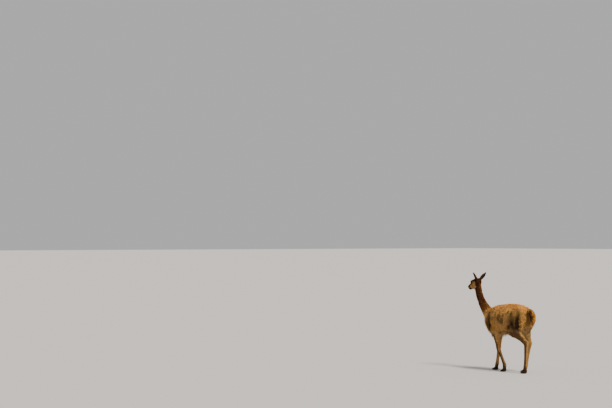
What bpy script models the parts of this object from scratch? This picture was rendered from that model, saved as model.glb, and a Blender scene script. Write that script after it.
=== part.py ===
"""A life-size standing vicuna in the middle of a slow walking step.

It is modelled whole, out to the tips of its coat, as smooth lofts along the neck, trunk,
legs and tail that are fused into one form. Thin cuts then part it into head, neck, trunk,
tail and legs. The ears, eyes and toenails are solids of their own.
Metres, +Z up. The animal faces -Y, its left side is +X, and the soles stand on Z = 0.
"""

import math

import bmesh
import bpy
from mathutils import Matrix, Vector

# Driving sizes
ELBOW_LINE = -0.0593      # where the elbows lie along Y; "back" below is measured from it
JOINT_GAP = 0.0005       # between neighbouring pieces
FORM_VOXEL = 0.0055
FORM_TRIANGLES = 4700
BODY_SMOOTHING = 110
RING_POINTS = 28
STEPS_PER_STATION = 4

HEAD_POLL = (0.0, -0.328, 1.142)     # side, back and height of the head's own origin
HEAD_PITCH = math.radians(17)        # how far the nose points below level
HEAD_TURN = math.radians(8)         # how far the head looks to the animal's right
EAR_ROOT = (0.036, -0.004, 0.034)    # side, along the head from the poll, above its axis
EAR_AIM = (0.58, -0.51, 0.635)        # the way an ear points, in the same three directions
EAR_LENGTH = 0.114
EAR_HALF_WIDTH = 0.0225
EAR_HALF_DEPTH = 0.0125
EAR_CUP = 0.0095                     # how far the hollow is set in front of the ear's back
EYE_RADIUS = 0.0175
EYE_PLACE = (0.0365, 0.098, 0.014)

# Trunk: back, centre height, half height above it, half height below it, half width
TRUNK = [
    (-0.168, 0.666, 0.050, 0.055, 0.045),
    (-0.145, 0.666, 0.120, 0.095, 0.083),
    (-0.095, 0.660, 0.154, 0.142, 0.119),
    (-0.020, 0.656, 0.175, 0.180, 0.143),
    (0.080, 0.662, 0.188, 0.192, 0.158),
    (0.185, 0.676, 0.202, 0.190, 0.166),
    (0.295, 0.692, 0.204, 0.184, 0.165),
    (0.395, 0.702, 0.198, 0.168, 0.157),
    (0.470, 0.708, 0.172, 0.148, 0.142),
    (0.524, 0.710, 0.120, 0.116, 0.116),
    (0.552, 0.712, 0.056, 0.058, 0.066),
]

# Neck: back, height, half width, half depth across the neck
NECK = [
    (-0.030, 0.626, 0.098, 0.100),
    (-0.098, 0.692, 0.087, 0.092),
    (-0.176, 0.765, 0.068, 0.073),
    (-0.243, 0.841, 0.055, 0.061),
    (-0.292, 0.921, 0.048, 0.052),
    (-0.325, 1.006, 0.045, 0.048),
    (-0.341, 1.076, 0.045, 0.048),
    (-0.340, 1.126, 0.043, 0.045),
]

# Head, in its own frame: along from the poll, top, bottom, half width
HEAD = [
    (-0.030, 0.014, -0.040, 0.028),
    (-0.008, 0.042, -0.062, 0.043),
    (0.028, 0.058, -0.082, 0.052),
    (0.064, 0.058, -0.088, 0.053),
    (0.096, 0.050, -0.083, 0.048),
    (0.126, 0.035, -0.071, 0.040),
    (0.156, 0.024, -0.061, 0.033),
    (0.184, 0.017, -0.055, 0.030),
    (0.206, 0.007, -0.050, 0.026),
    (0.220, -0.010, -0.040, 0.016),
]

# Tail: back, height, half width, half depth
TAIL = [
    (0.495, 0.786, 0.034, 0.036),
    (0.545, 0.790, 0.036, 0.036),
    (0.590, 0.769, 0.041, 0.034),
    (0.617, 0.728, 0.044, 0.033),
    (0.626, 0.682, 0.041, 0.030),
    (0.622, 0.642, 0.028, 0.019),
    (0.618, 0.622, 0.012, 0.009),
]

# Legs: side, back and height of each joint from the top down to the pastern
FORE_LEFT = [(0.080, 0.005, 0.650), (0.084, 0.052, 0.490), (0.074, 0.096, 0.290),
             (0.071, 0.198, 0.090), (0.071, 0.196, 0.046)]
FORE_RIGHT = [(0.080, -0.020, 0.650), (0.084, -0.020, 0.490), (0.072, -0.036, 0.290),
              (0.067, -0.062, 0.084), (0.067, -0.076, 0.040)]
HIND_LEFT = [(0.072, 0.450, 0.716), (0.108, 0.402, 0.545), (0.086, 0.586, 0.378),
             (0.073, 0.560, 0.088), (0.071, 0.545, 0.040)]
HIND_RIGHT = [(0.072, 0.452, 0.716), (0.108, 0.396, 0.545), (0.086, 0.486, 0.374),
              (0.073, 0.434, 0.088), (0.071, 0.418, 0.040)]

# Girths shared by both sides: bone, how far down it, half width, half depth
FORE_GIRTHS = [
    (0, 0.00, 0.052, 0.085), (0, 0.55, 0.053, 0.074), (1, 0.00, 0.043, 0.056),
    (1, 0.30, 0.033, 0.040), (1, 0.72, 0.026, 0.029), (2, 0.00, 0.029, 0.030),
    (2, 0.20, 0.0225, 0.0235), (2, 0.55, 0.0205, 0.0215), (2, 0.85, 0.0215, 0.023),
    (3, 0.05, 0.0255, 0.0265), (3, 1.00, 0.0225, 0.0225),
]
HIND_GIRTHS = [
    (0, 0.00, 0.054, 0.080), (0, 0.50, 0.060, 0.118), (1, 0.00, 0.050, 0.102),
    (1, 0.28, 0.042, 0.072), (1, 0.60, 0.032, 0.045), (1, 0.88, 0.0285, 0.034),
    (2, 0.00, 0.0300, 0.036), (2, 0.14, 0.0255, 0.029), (2, 0.50, 0.0215, 0.0235),
    (2, 0.86, 0.0225, 0.0245), (3, 0.05, 0.0265, 0.0275), (3, 1.00, 0.0230, 0.0230),
]

# Toes, from a foot's heel forward: along, above, share of the half width and half height
TOE = [
    (-0.020, 0.004, 0.80, 0.85),
    (0.002, 0.001, 1.00, 1.12),
    (0.022, -0.002, 1.02, 1.05),
    (0.039, -0.005, 0.88, 0.82),
    (0.049, -0.008, 0.50, 0.45),
]
TOE_HALF_WIDTH = 0.0165
TOE_HALF_HEIGHT = 0.0185
TOE_SPACING = 0.0135
TOE_SPLAY = math.radians(10)

NAIL_CLEARANCE = 0.0012  # the nails end just above the floor

# Nails, in a toe's own frame: along, above, half width, half height
NAIL = [
    (0.025, 0.003, 0.0070, 0.0050),
    (0.036, 0.001, 0.0100, 0.0095),
    (0.049, -0.003, 0.0090, 0.0085),
    (0.059, -0.007, 0.0045, 0.0035),
]


def at(side, back, height):
    """A point from its distances to the animal's left, behind its elbows and above the floor."""
    return Vector((side, ELBOW_LINE + back, height))


def clear_scene():
    for obj in list(bpy.data.objects):
        bpy.data.objects.remove(obj, do_unlink=True)


def material(name, colour, roughness):
    mat = bpy.data.materials.new(name)
    mat.use_nodes = True
    shader = mat.node_tree.nodes["Principled BSDF"]
    shader.inputs["Base Color"].default_value = (*colour, 1.0)
    shader.inputs["Roughness"].default_value = roughness
    shader.inputs["Metallic"].default_value = 0.0
    return mat


def new_object(name, mesh):
    obj = bpy.data.objects.new(name, mesh)
    bpy.context.scene.collection.objects.link(obj)
    return obj


def from_bmesh(name, bm):
    bmesh.ops.recalc_face_normals(bm, faces=bm.faces)
    mesh = bpy.data.meshes.new(name)
    bm.to_mesh(mesh)
    bm.free()
    return new_object(name, mesh)


def applied(obj):
    """The object with its modifiers turned into plain mesh."""
    graph = bpy.context.evaluated_depsgraph_get()
    obj.data = bpy.data.meshes.new_from_object(obj.evaluated_get(graph))
    obj.modifiers.clear()
    return obj


def cut(obj, cutter, operation):
    change = obj.modifiers.new("cut", "BOOLEAN")
    change.operation = operation
    change.solver = "EXACT"
    change.object = cutter
    return applied(obj)


def removed(obj):
    bpy.data.objects.remove(obj, do_unlink=True)


def grown(obj, by):
    """A copy of a closed piece, larger by this much all round, to cut its neighbour with."""
    copy = new_object(obj.name + "_grown", obj.data.copy())
    push = copy.modifiers.new("push", "DISPLACE")
    push.strength = by
    push.mid_level = 0.0
    return applied(copy)


def catmull(a, b, c, d, t):
    """A smooth value between b and c, whose neighbours are a and d."""
    return 0.5 * (2 * b + (c - a) * t + (2 * a - 5 * b + 4 * c - d) * t * t
                  + (3 * b - a - 3 * c + d) * t ** 3)


def smooth_rows(rows, steps):
    """Rows of numbers or vectors, with smooth in-between rows added."""
    padded = [rows[0], *rows, rows[-1]]
    found = []
    for i in range(len(rows) - 1):
        for step in range(steps):
            near = padded[i:i + 4]
            found.append([catmull(*column, step / steps) for column in zip(*near)])
    found.append(list(rows[-1]))
    return found


def loft(bm, stations, frame=None, points=RING_POINTS, steps=STEPS_PER_STATION):
    """A closed tube through stations of (centre, half width, half depth up, half depth down).

    Each ring lies across the path, with its width along X, or along the frame's own X."""
    rows = smooth_rows(stations, steps)
    centres = [row[0] for row in rows]
    rings = []
    for i, (centre, half_wide, up, down) in enumerate(rows):
        ahead = (centres[min(i + 1, len(rows) - 1)] - centres[max(i - 1, 0)]).normalized()
        side = Vector((1, 0, 0))
        side = (side - side.dot(ahead) * ahead).normalized()
        above = side.cross(ahead)
        ring = []
        for k in range(points):
            turn = math.tau * k / points
            deep = up if math.sin(turn) > 0 else down
            place = centre + side * half_wide * math.cos(turn) + above * deep * math.sin(turn)
            ring.append(bm.verts.new(frame @ place if frame else place))
        rings.append(ring)
    for low, high in zip(rings, rings[1:]):
        for k in range(points):
            n = (k + 1) % points
            bm.faces.new((low[k], low[n], high[n], high[k]))
    bm.faces.new(list(reversed(rings[0])))
    bm.faces.new(rings[-1])


def ellipsoid(bm, centre, sizes, turn=None, segments=20, rings=12):
    """A round lump with these half sizes."""
    place = Matrix.Translation(centre) @ (turn or Matrix()) @ Matrix.Diagonal((*sizes, 1))
    bmesh.ops.create_uvsphere(bm, u_segments=segments, v_segments=rings, radius=1, matrix=place)


def head_frame():
    """From the head's own frame (side, along from the poll, above the axis) to the world."""
    turn = Matrix.Rotation(-HEAD_TURN, 4, "Z")
    tip = Matrix.Rotation(HEAD_PITCH, 4, "X")
    ahead_is_minus_y = Matrix.Diagonal((1, -1, 1, 1))
    return Matrix.Translation(at(*HEAD_POLL)) @ turn @ tip @ ahead_is_minus_y


def add_trunk(bm):
    loft(bm, [(at(0, back, height), half_wide, down, up)
              for back, height, up, down, half_wide in TRUNK])


def add_neck(bm):
    loft(bm, [(at(0, back, height), half_wide, half_deep, half_deep)
              for back, height, half_wide, half_deep in NECK])


def add_tail(bm):
    loft(bm, [(at(0, back, height), half_wide, half_deep, half_deep)
              for back, height, half_wide, half_deep in TAIL])


def add_head(bm):
    frame = head_frame()
    turn = frame.to_3x3().to_4x4()
    loft(bm, [(Vector((0, along, (top + bottom) / 2)), half_wide,
               (top - bottom) / 2, (top - bottom) / 2)
              for along, top, bottom, half_wide in HEAD], frame)
    for side in (-1, 1):
        brow = frame @ Vector((side * 0.030, 0.086, 0.032))
        ellipsoid(bm, brow, (0.020, 0.034, 0.017), turn)
        jaw = frame @ Vector((side * 0.030, 0.050, -0.048))
        ellipsoid(bm, jaw, (0.022, 0.044, 0.036), turn)
        nose = frame @ Vector((side * 0.012, 0.200, -0.014))
        ellipsoid(bm, nose, (0.016, 0.026, 0.020), turn)
    chin = frame @ Vector((0, 0.192, -0.046))
    ellipsoid(bm, chin, (0.020, 0.024, 0.014), turn)


def bone_stations(joints, girths, side):
    places = [at(side * x, back, height) for x, back, height in joints]
    rows = []
    for bone, down, half_wide, half_deep in girths:
        place = places[bone].lerp(places[bone + 1], down)
        rows.append((place, half_wide, half_deep, half_deep))
    return rows


def toe_frames(leg):
    """Where each of a foot's two toes starts, with +Y along the toe towards its tip."""
    joints, _, side, pitch, heel = leg
    x, back, _ = joints[-1]
    frames = []
    for outer in (-1, 1):
        root = at(side * x + outer * TOE_SPACING, back, heel)
        turn = Matrix.Rotation(math.pi + outer * TOE_SPLAY, 4, "Z")
        tip = Matrix.Rotation(-pitch, 4, "X")
        frames.append(Matrix.Translation(root) @ turn @ tip)
    return frames


def add_leg(bm, leg):
    joints, girths, side, _, _ = leg
    loft(bm, bone_stations(joints, girths, side))
    for frame in toe_frames(leg):
        loft(bm, [(Vector((0, along, above)), TOE_HALF_WIDTH * wide,
                   TOE_HALF_HEIGHT * deep, TOE_HALF_HEIGHT * deep)
                  for along, above, wide, deep in TOE], frame)


# Each leg: its joints, girths, side, how far the toes tip down, and the height of the heel
LEGS = {
    "foreleg_left": (FORE_LEFT, FORE_GIRTHS, 1, math.radians(16), 0.0245),
    "foreleg_right": (FORE_RIGHT, FORE_GIRTHS, -1, 0.0, 0.0175),
    "hindleg_left": (HIND_LEFT, HIND_GIRTHS, 1, 0.0, 0.0175),
    "hindleg_right": (HIND_RIGHT, HIND_GIRTHS, -1, 0.0, 0.0175),
}


def ramp(value, start, end):
    """0 before the start, 1 after the end, and smooth between them."""
    share = min(max((value - start) / (end - start), 0.0), 1.0)
    return share * share * (3 - 2 * share)


def blend_body(form):
    """Softens the folds where thighs, shoulders and neck grow out of the trunk."""
    group = form.vertex_groups.new(name="body")
    for vertex in form.data.vertices:
        back = vertex.co.y - ELBOW_LINE
        weight = ramp(vertex.co.z, 0.47, 0.56) * ramp(0.545 - back, 0.0, 0.06)
        weight *= 1 - ramp(vertex.co.z, 0.86, 0.98)
        group.add([vertex.index], weight, "REPLACE")
    broad = form.modifiers.new("broad", "SMOOTH")
    broad.factor = 0.5
    broad.iterations = BODY_SMOOTHING
    broad.vertex_group = group.name
    applied(form)


def whole_form():
    """Trunk, neck, head, tail and legs fused into one smooth closed mesh."""
    bm = bmesh.new()
    add_trunk(bm)
    add_neck(bm)
    add_head(bm)
    add_tail(bm)
    for leg in LEGS.values():
        add_leg(bm, leg)
    form = from_bmesh("form", bm)
    fuse = form.modifiers.new("fuse", "REMESH")
    fuse.mode = "VOXEL"
    fuse.voxel_size = FORM_VOXEL
    ease = form.modifiers.new("ease", "SMOOTH")
    ease.factor = 0.5
    ease.iterations = 4
    applied(form)
    blend_body(form)
    thin = form.modifiers.new("thin", "DECIMATE")
    thin.ratio = FORM_TRIANGLES / (2 * len(form.data.polygons))
    return applied(form)


# Cuts, in the order they are made: a point on the cut, the way out of the body to the
# piece that comes off, and how far the cutting block reaches to the left and right
CUTS = {
    "head": ((0.0, -0.336, 1.088), (0.0, -0.80, 0.60), (-0.2, 0.2)),
    "neck": ((0.0, -0.178, 0.776), (0.0, -0.62, 0.78), (-0.2, 0.2)),
    "tail": ((0.0, 0.5575, 0.776), (0.0, 1.0, 0.0), (-0.07, 0.07)),
    "foreleg_left": ((0.095, 0.0, 0.500), (0.57, 0.0, -0.82), (0.012, 0.3)),
    "foreleg_right": ((-0.095, 0.0, 0.500), (-0.57, 0.0, -0.82), (-0.3, -0.012)),
    "hindleg_left": ((0.090, 0.45, 0.510), (0.54, 0.0, -0.84), (0.012, 0.3)),
    "hindleg_right": ((-0.090, 0.45, 0.510), (-0.54, 0.0, -0.84), (-0.3, -0.012)),
}
CUT_REACH = {"tail": 0.17, "head": 0.4, "neck": 0.6}
LEG_SPAN = {"fore": (-0.30, 0.24), "hind": (0.24, 0.80)}


def cutting_block(name, shift):
    """A block whose inner face lies on the cut, moved outwards by the shift."""
    point, outwards, (left, right) = CUTS[name]
    away = Vector(outwards).normalized()
    start = at(*point) + away * shift
    reach = CUT_REACH.get(name, 0.9)
    along = Vector((0, -away.z, away.y)) if abs(away.x) < 0.01 else Vector((0, 1, 0))
    across = along.cross(away)
    low, high = -reach, reach
    if "leg" in name:
        low, high = (ELBOW_LINE + back - start.y for back in LEG_SPAN[name[:4]])
    if name == "tail":
        low, high = -reach, reach
    bm = bmesh.new()
    corners = {}
    for i, run in enumerate((low, high)):
        for j, wide in enumerate((-reach, reach)):
            for k, out in enumerate((0, reach)):
                place = start + along * run + across * wide + away * out
                corners[i, j, k] = bm.verts.new(place)
    bmesh.ops.convex_hull(bm, input=bm.verts)
    block = from_bmesh("block", bm)
    bm = bmesh.new()
    middle = at((left + right) / 2, 0, 0)
    place = Matrix.Translation(middle) @ Matrix.Diagonal((right - left, 4, 4, 1))
    bmesh.ops.create_cube(bm, size=1, matrix=place)
    slab = from_bmesh("slab", bm)
    cut(block, slab, "INTERSECT")
    removed(slab)
    return block


def parted(form):
    """The form cut into named pieces, each a gap away from the next."""
    pieces = {}
    for name in CUTS:
        piece = new_object(name, form.data.copy())
        block = cutting_block(name, JOINT_GAP)
        cut(piece, block, "INTERSECT")
        removed(block)
        block = cutting_block(name, 0.0)
        cut(form, block, "DIFFERENCE")
        removed(block)
        pieces[name] = piece
    form.name = "trunk"
    pieces["trunk"] = form
    return pieces


def stand_flat(obj, level=0.0):
    """Everything below a level is taken off, so that the soles are flat."""
    bm = bmesh.new()
    place = Matrix.Translation((0, 0, level - 0.5)) @ Matrix.Diagonal((4, 4, 1, 1))
    bmesh.ops.create_cube(bm, size=1, matrix=place)
    floor = from_bmesh("floor", bm)
    cut(obj, floor, "DIFFERENCE")
    removed(floor)


def ear(name, side):
    """A leaf with a hollow front, round its own long axis from the root to the tip."""
    frame = head_frame()
    root = frame @ Vector((side * EAR_ROOT[0], EAR_ROOT[1], EAR_ROOT[2]))
    aim = frame.to_3x3() @ Vector((side * EAR_AIM[0], EAR_AIM[1], EAR_AIM[2]))
    aim.normalize()
    front = frame.to_3x3() @ Vector((side * 0.45, 1.0, 0.0))
    front = (front - front.dot(aim) * aim).normalized()
    across = front.cross(aim)
    place = Matrix((across, front, aim)).transposed().to_4x4()
    place.translation = root
    share = [(-0.10, 0.50, 0.80), (0.10, 0.78, 1.00), (0.34, 1.00, 1.00), (0.60, 0.84, 0.80),
             (0.82, 0.50, 0.55), (1.00, 0.10, 0.25)]

    def leaf(width, depth, forward, start):
        bm = bmesh.new()
        rows = []
        for up, wide, deep in share:
            centre = Vector((0, forward + 0.010 * up * up, EAR_LENGTH * (start + up * (1 - start))))
            rows.append((centre, width * wide, depth * deep, depth * deep))
        loft(bm, rows, place, 14, 2)
        return bm

    outer = from_bmesh(name, leaf(EAR_HALF_WIDTH, EAR_HALF_DEPTH, 0.0, 0.0))
    hollow = from_bmesh("hollow", leaf(EAR_HALF_WIDTH * 0.80, EAR_HALF_DEPTH, EAR_CUP, 0.16))
    cut(outer, hollow, "DIFFERENCE")
    removed(hollow)
    return outer


def eye(name, side):
    bm = bmesh.new()
    x, along, above = EYE_PLACE
    centre = head_frame() @ Vector((side * x, along, above))
    ellipsoid(bm, centre, (EYE_RADIUS,) * 3, None, 14, 9)
    return from_bmesh(name, bm)


def nail(name, frame):
    bm = bmesh.new()
    loft(bm, [(Vector((0, along, above)), half_wide, half_high, half_high)
              for along, above, half_wide, half_high in NAIL], frame, 8, 1)
    return from_bmesh(name, bm)


def set_in(piece, host):
    """Cuts a seat for a small piece into the piece that carries it."""
    seat = grown(piece, JOINT_GAP)
    cut(host, seat, "DIFFERENCE")
    removed(seat)


def finish(obj, mat):
    obj.data.materials.clear()
    obj.data.materials.append(mat)
    for polygon in obj.data.polygons:
        polygon.material_index = 0
    obj.data.shade_smooth()
    obj.data.set_sharp_from_angle(angle=math.radians(50))


def main():
    clear_scene()
    coat = material("coat_tan", (0.42, 0.25, 0.10), 0.95)
    dark = material("ear_dark", (0.06, 0.035, 0.02), 0.9)
    wet = material("eye_dark", (0.01, 0.007, 0.005), 0.08)
    horn = material("nail_dark", (0.035, 0.028, 0.022), 0.5)

    pieces = parted(whole_form())
    for name in LEGS:
        stand_flat(pieces[name])
    for piece in pieces.values():
        finish(piece, coat)

    for word, side in (("left", 1), ("right", -1)):
        listener = ear("ear_" + word, side)
        set_in(listener, pieces["head"])
        finish(listener, dark)
        seer = eye("eye_" + word, side)
        set_in(seer, pieces["head"])
        finish(seer, wet)

    for name, leg in LEGS.items():
        limb, word = name.split("leg_")
        for number, frame in enumerate(toe_frames(leg), 1):
            tip = nail(f"nail_{limb}_{word}_{number}", frame)
            stand_flat(tip, NAIL_CLEARANCE)
            set_in(tip, pieces[name])
            finish(tip, horn)


main()
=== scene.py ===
import bpy
import math
import numpy as np
from mathutils import Matrix, Vector
from mathutils.bvhtree import BVHTree
from mathutils.kdtree import KDTree


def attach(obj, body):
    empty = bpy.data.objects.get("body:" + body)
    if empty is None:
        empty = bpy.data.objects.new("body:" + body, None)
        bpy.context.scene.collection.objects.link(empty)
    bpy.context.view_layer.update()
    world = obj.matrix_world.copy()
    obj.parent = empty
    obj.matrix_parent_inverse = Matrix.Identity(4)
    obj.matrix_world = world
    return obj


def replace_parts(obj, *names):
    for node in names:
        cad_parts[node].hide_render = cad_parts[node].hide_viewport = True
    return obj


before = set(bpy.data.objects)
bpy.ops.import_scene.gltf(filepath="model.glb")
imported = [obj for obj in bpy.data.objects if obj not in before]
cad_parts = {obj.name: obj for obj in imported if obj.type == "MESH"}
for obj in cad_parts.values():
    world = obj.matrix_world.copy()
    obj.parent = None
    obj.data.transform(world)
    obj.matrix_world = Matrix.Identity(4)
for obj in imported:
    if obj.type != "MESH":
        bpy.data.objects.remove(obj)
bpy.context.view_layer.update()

# where the body's parts lie; the animal faces -Y and its left side is +X
body = {
    "pollPlace": (0.0, -0.3873, 1.142),
    "headPitch": math.radians(17),
    "headTurn": math.radians(8),
    "headCut": ((0.0, -0.3953, 1.088), (0.0, -0.80, 0.60)),      # a point, and the way out
    "neckCut": ((0.0, -0.2373, 0.776), (0.0, -0.62, 0.78)),
    "foreLegCut": (0.095, 0.500, 0.57, 0.82),      # side and height of a point, and the way out
    "hindLegCut": (0.090, 0.510, 0.54, 0.84),
    "legSplit": 0.181,                             # along Y, between fore and hind legs
    "legGap": 0.012,                               # each side of the middle
    "headLow": 0.95,
    "neckFront": -0.1,
    "tailStart": 0.498,
    "tailHalfWidth": 0.07,
    "tailLow": 0.60,
    "neckLine": [(-0.0893, 0.626), (-0.1573, 0.692), (-0.2353, 0.765), (-0.3023, 0.841),
                 (-0.3513, 0.921), (-0.3843, 1.006), (-0.4003, 1.076), (-0.3993, 1.126)],
    "eyePlace": (0.0365, 0.098, 0.014),            # side, along the head, above its axis
    "eyeRadius": 0.0175,
    "fleshNodes": ["head", "neck", "trunk", "tail", "foreleg_left", "foreleg_right",
                   "hindleg_left", "hindleg_right"],
    "earNodes": ["ear_left", "ear_right"],
}
allParts = range(7)
trunkPart, neckPart, headPart, tailPart, foreLegPart, hindLegPart, earPart = allParts


def headFrame():
    # side, along from the poll and above the axis, to the world
    turn = Matrix.Rotation(-body["headTurn"], 4, "Z")
    tip = Matrix.Rotation(body["headPitch"], 4, "X")
    place = Matrix.Translation(body["pollPlace"])
    return place @ turn @ tip @ Matrix.Diagonal((1, -1, 1, 1))


headToWorld = np.array(headFrame())
worldToHead = np.array(headFrame().inverted())
headAxes = headToWorld[:3, :3]


def inHead(points):
    return points @ worldToHead[:3, :3].T + worldToHead[:3, 3]


def inWorld(local):
    return local @ headAxes.T + headToWorld[:3, 3]


def smoothStep(value, start, end):
    # 0 before the start and 1 after the end, or the other way round where the end comes first
    t = np.clip((value - start) / (end - start), 0.0, 1.0)
    return t * t * (3 - 2 * t)


def bump(value, middle, reach):
    return np.exp(-((value - middle) / reach) ** 2)


def lengths(rows):
    return np.linalg.norm(rows, axis=1)


def unit(rows):
    return rows / np.maximum(lengths(rows), 0.001)[:, None]


def rowsOf(like, *columns):
    # a row for each value of like, its columns given as arrays or single numbers
    return np.stack([column + 0 * like for column in columns], axis=1)


def byPart(table, part, missing=0.0):
    return np.array([table.get(k, missing) for k in allParts])[part]


def isLeg(part):
    return (part == foreLegPart) | (part == hindLegPart)


def beyond(points, cut):
    place, way = (np.array(v) for v in cut)
    return (points - place) @ (way / np.linalg.norm(way))


def partOf(points):
    # which part of the body each point belongs to, the ears left out
    x, y, z = points.T
    side = np.abs(x)
    part = np.full(len(points), trunkPart)
    for key, limit, which in (("foreLegCut", y < body["legSplit"], foreLegPart),
                              ("hindLegCut", y >= body["legSplit"], hindLegPart)):
        cutSide, cutHeight, outSide, outDown = body[key]
        out = (side - cutSide) * outSide - (z - cutHeight) * outDown
        part[(out > 0) & limit & (side > body["legGap"])] = which
    part[(y > body["tailStart"]) & (side < body["tailHalfWidth"]) & (z > body["tailLow"])] = tailPart
    part[(beyond(points, body["neckCut"]) > 0) & (y < body["neckFront"])] = neckPart
    part[(beyond(points, body["headCut"]) > 0) & (z > body["headLow"])] = headPart
    return part


# Blender's operators, on one piece at a time
def makeActive(piece):
    if bpy.context.object and bpy.context.object.mode != "OBJECT":
        bpy.ops.object.mode_set(mode="OBJECT")
    bpy.ops.object.select_all(action="DESELECT")
    if piece:
        piece.select_set(True)
        bpy.context.view_layer.objects.active = piece


def addModifier(piece, kind, **settings):
    change = piece.modifiers.new(kind.lower(), kind)
    for name, value in settings.items():
        setattr(change, name, value)


def applyAll(piece):
    makeActive(piece)
    for change in list(piece.modifiers):
        bpy.ops.object.modifier_apply(modifier=change.name)


def inEditMode(piece, selection, operation, **settings):
    makeActive(piece)
    bpy.ops.object.mode_set(mode="EDIT")
    if selection:
        bpy.ops.mesh.select_all(action=selection)
    operation(**settings)
    bpy.ops.object.mode_set(mode="OBJECT")


def joinedCopy(names, newName):
    # one merged copy of some CAD nodes
    copies = []
    for name in names:
        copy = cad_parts[name].copy()
        copy.data = copy.data.copy()
        bpy.context.scene.collection.objects.link(copy)
        copy.parent = None
        for key in list(copy.keys()):
            del copy[key]
        copies.append(copy)
    makeActive(copies[0])
    for copy in copies:
        copy.select_set(True)
    if len(copies) > 1:
        bpy.ops.object.join()
    piece = bpy.context.view_layer.objects.active
    piece.name = newName
    piece.data.materials.clear()
    inEditMode(piece, "SELECT", bpy.ops.mesh.remove_doubles, threshold=0.00001)
    return piece


# a mesh's numbers, read and set all at once
def readAll(items, field, width, kind):
    flat = np.empty(len(items) * width, dtype=kind)
    items.foreach_get(field, flat)
    return flat.reshape(-1, width) if width > 1 else flat


def pointsOf(mesh):
    return readAll(mesh.vertices, "co", 3, np.float32).astype(np.float64)


def normalsOf(mesh):
    return readAll(mesh.vertex_normals, "vector", 3, np.float32).astype(np.float64)


def setPoints(mesh, points):
    mesh.vertices.foreach_set("co", points.astype(np.float32).ravel())
    mesh.update()


def neighboursOf(mesh):
    # the edges, and how many neighbours each vertex has
    edges = readAll(mesh.edges, "vertices", 2, np.int32)
    count = np.bincount(edges.ravel(), minlength=len(mesh.vertices))
    return edges, np.maximum(count, 1)[:, None]


def neighbourSum(edges, values):
    total = np.empty_like(values)
    for k in range(values.shape[1]):
        total[:, k] = np.bincount(edges[:, 0], values[edges[:, 1], k], len(values))
        total[:, k] += np.bincount(edges[:, 1], values[edges[:, 0], k], len(values))
    return total


def eased(mesh, values, rounds):
    # values on the vertices, averaged with their neighbours
    edges, count = neighboursOf(mesh)
    values = np.atleast_2d(values.T).T.astype(np.float64)
    for _ in range(rounds):
        values = 0.5 * values + 0.5 * neighbourSum(edges, values) / count
    return values if values.shape[1] > 1 else values[:, 0]


# the skin
skin = {
    "voxel": 0.0026,
    "earVoxel": 0.0014,
    "earEasing": 5,
    "smoothing": {trunkPart: 70, neckPart: 52.5, headPart: 10, tailPart: 31.5,
                  foreLegPart: 14, hindLegPart: 14},
    "bodyShare": 0.13,                   # of the body's faces that stay after thinning
    "thinPower": 4.0,
    "footHeight": 0.05,                  # below this, as on the head, no face is lost
    "earReach": 0.009,                   # how far the ears' roots go on into the head
    "earReachFade": 0.02,
    "earSpare": 0.85,                    # of the coat's depth that is left out round the ears' roots
    "earSpareFade": (0.018, 0.034),
    "depths": {trunkPart: 0.019, neckPart: 0.012, tailPart: 0.015, earPart: 0.0006},
    "legDepth": (0.0022, 0.0068),        # low on the leg, and how much more at the body
    "legDepthRise": (0.26, 0.50),
    "ankleRise": (0.0, 0.035),
    "soleRise": (0.0, 0.012),
    "headDepth": (0.0052, -0.0042),      # at the poll, and how much more on the muzzle
    "headDepthRise": (0.04, 0.17),
}

# the ears' line, in the head's own frame
ear = {
    "root": (0.036, -0.004, 0.034),
    "aim": (0.58, -0.51, 0.635),
    "length": 0.114,
    "skullHeight": 1.1,                  # nothing lower is near an ear
    "base": 0.017,                       # where the ear's own skin starts, along its line
    "baseHeight": 1.15,
    "halfWidth": 0.034,
    "tipRoom": 0.02,
}
earAim = np.array(ear["aim"]) / np.linalg.norm(ear["aim"])


def alongEar(points):
    # how far up its ear and how far out from the ear's line each point is
    local = inHead(points)
    local[:, 0] = np.abs(local[:, 0])
    fromRoot = local - np.array(ear["root"])
    up = fromRoot @ earAim
    return up, lengths(fromRoot - up[:, None] * earAim)


def partsOf(points):
    # which part of the body each point belongs to, ears and all
    part = partOf(points)
    up, out = alongEar(points)
    onEar = (up > ear["base"]) & (up < ear["length"] + ear["tipRoom"])
    part[onEar & (out < ear["halfWidth"]) & (points[:, 2] > ear["baseHeight"])] = earPart
    return part


def coatDepth(points, part):
    # how far the skin lies inside the coat's tips
    z = points[:, 2]
    low, more = skin["legDepth"]
    onLeg = (low + more * smoothStep(z, *skin["legDepthRise"])) * smoothStep(z, *skin["ankleRise"])
    depth = np.where(isLeg(part), onLeg, byPart(skin["depths"], part))
    low, more = skin["headDepth"]
    onHead = low + more * smoothStep(inHead(points)[:, 1], *skin["headDepthRise"])
    return np.where(part == headPart, onHead, depth)


def makeSkin():
    flesh = joinedCopy(body["fleshNodes"], "skin")
    addModifier(flesh, "REMESH", mode="VOXEL", voxel_size=skin["voxel"])
    applyAll(flesh)
    print("skin fused", len(flesh.data.polygons))
    mesh = flesh.data
    points = pointsOf(mesh)
    part = partOf(points)
    most = skin["smoothing"][trunkPart]
    rounds = eased(mesh, byPart(skin["smoothing"], part) / most, 12) * most
    edges, count = neighboursOf(mesh)
    for step in range(most):
        share = np.clip(rounds - step, 0, 1)[:, None] * 0.5
        points = points * (1 - share) + share * neighbourSum(edges, points) / count
    setPoints(mesh, points)
    drawIn(mesh, points, part)
    thinSkin(flesh, part)
    ears = makeEars()
    addModifier(flesh, "BOOLEAN", operation="UNION", solver="EXACT", object=ears)
    applyAll(flesh)
    bpy.data.objects.remove(ears, do_unlink=True)
    print("skin with ears", len(flesh.data.polygons))
    return flesh


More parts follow.
